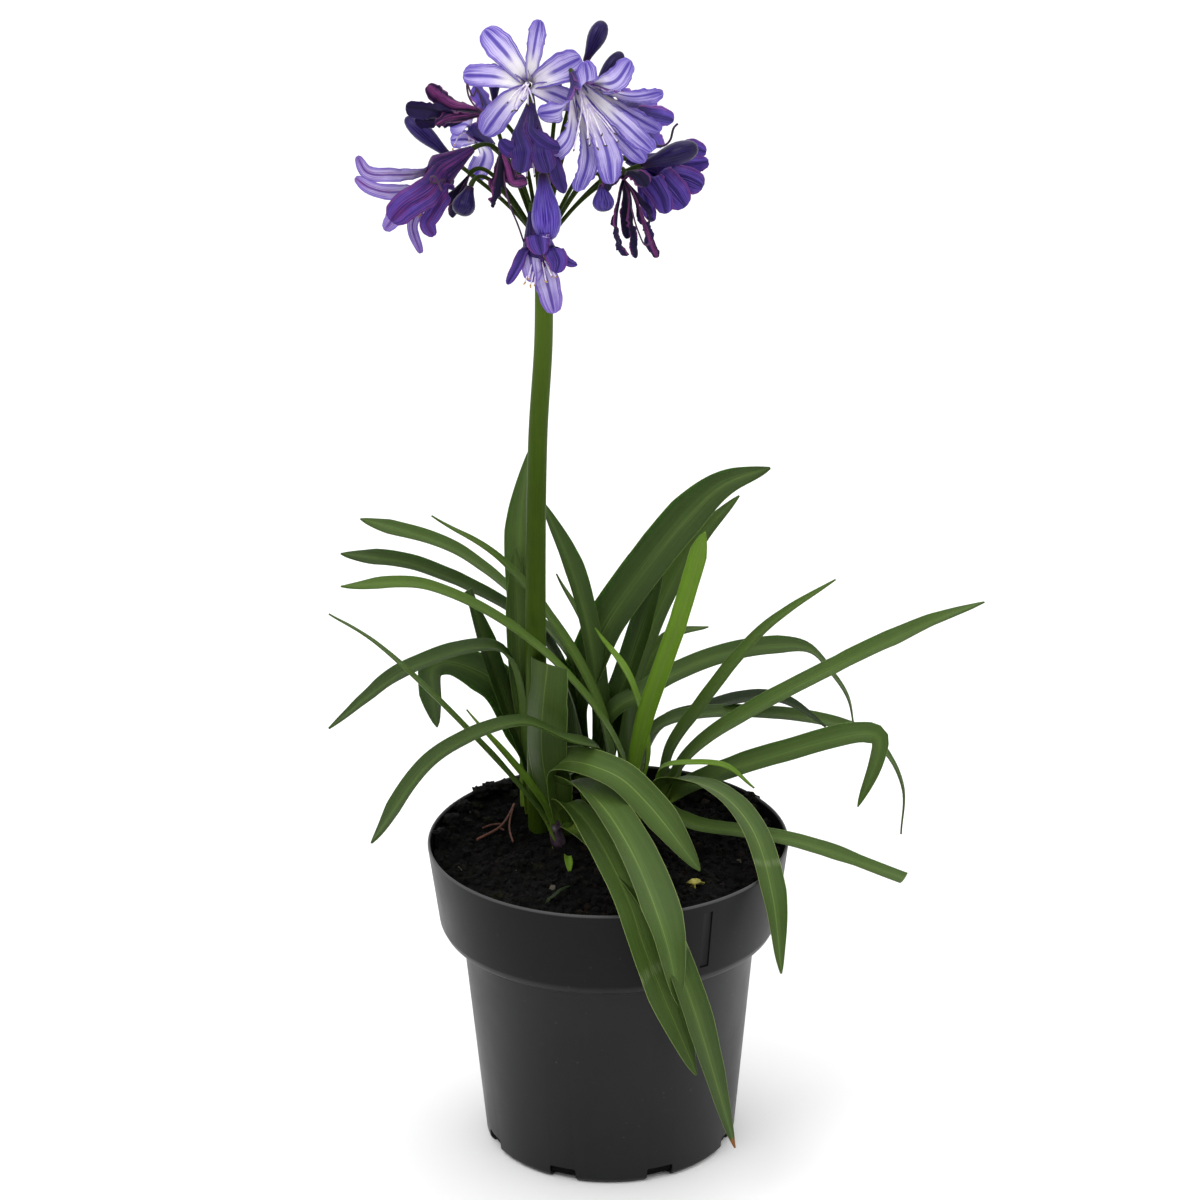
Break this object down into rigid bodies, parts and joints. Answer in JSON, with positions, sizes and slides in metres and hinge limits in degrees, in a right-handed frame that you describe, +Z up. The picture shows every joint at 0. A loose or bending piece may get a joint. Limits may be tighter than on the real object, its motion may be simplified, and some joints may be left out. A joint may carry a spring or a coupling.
{
  "type": "agapanthus plant in a nursery pot",
  "caption": "Agapanthus in a round plastic nursery pot: fans of arching strap leaves round a tall bare stem that carries a loose round head of lilac-blue trumpet florets and buds.",
  "frame": {"origin": "centre of the pot's underside, on the surface it stands on", "axes": "+Z up along the stem; -Y towards the viewer that the wide front leaves hang towards; +X to that viewer's right"},
  "size_m": [0.3548, 0.2504, 0.6237],
  "materials": {
    "pot": "black injection-moulded plastic, semi-matt",
    "soil": "moist dark potting mix with bark crumbs",
    "leaf": "fleshy green strap leaf, satin, finely veined",
    "scape": "smooth olive-green stem, satin",
    "open_tepal": "pale lilac tepal with a violet mid-stripe, soft satin",
    "closed_tepal": "violet-blue tepal, soft satin",
    "faded_tepal": "shrivelled purple-brown tepal, dull",
    "bud": "dark indigo bud, satin"
  },
  "bodies": {
    "root": {"pot": "pot", "soil": "soil", "shoot_front": "leaf", "shoot_left": "leaf", "shoot_scape": "leaf", "shoot_back": "leaf", "shoot_middle": "leaf", "shoot_right": "leaf", "shoot_far": "leaf", "scape": "scape", "floret_top": "open_tepal", "floret_front": "open_tepal", "floret_right": "open_tepal", "floret_left": "open_tepal", "floret_behind": "open_tepal", "floret_rear": "open_tepal", "floret_centre": "closed_tepal", "floret_low": "closed_tepal", "faded_left": "faded_tepal", "faded_centre": "faded_tepal", "faded_right": "faded_tepal", "faded_low": "faded_tepal", "bud_top": "bud", "bud_upper": "bud", "bud_crown": "bud", "bud_left": "bud", "bud_hanging": "bud", "bud_large": "bud", "bud_round": "bud", "bud_right": "bud"}
  },
  "joints": []
}
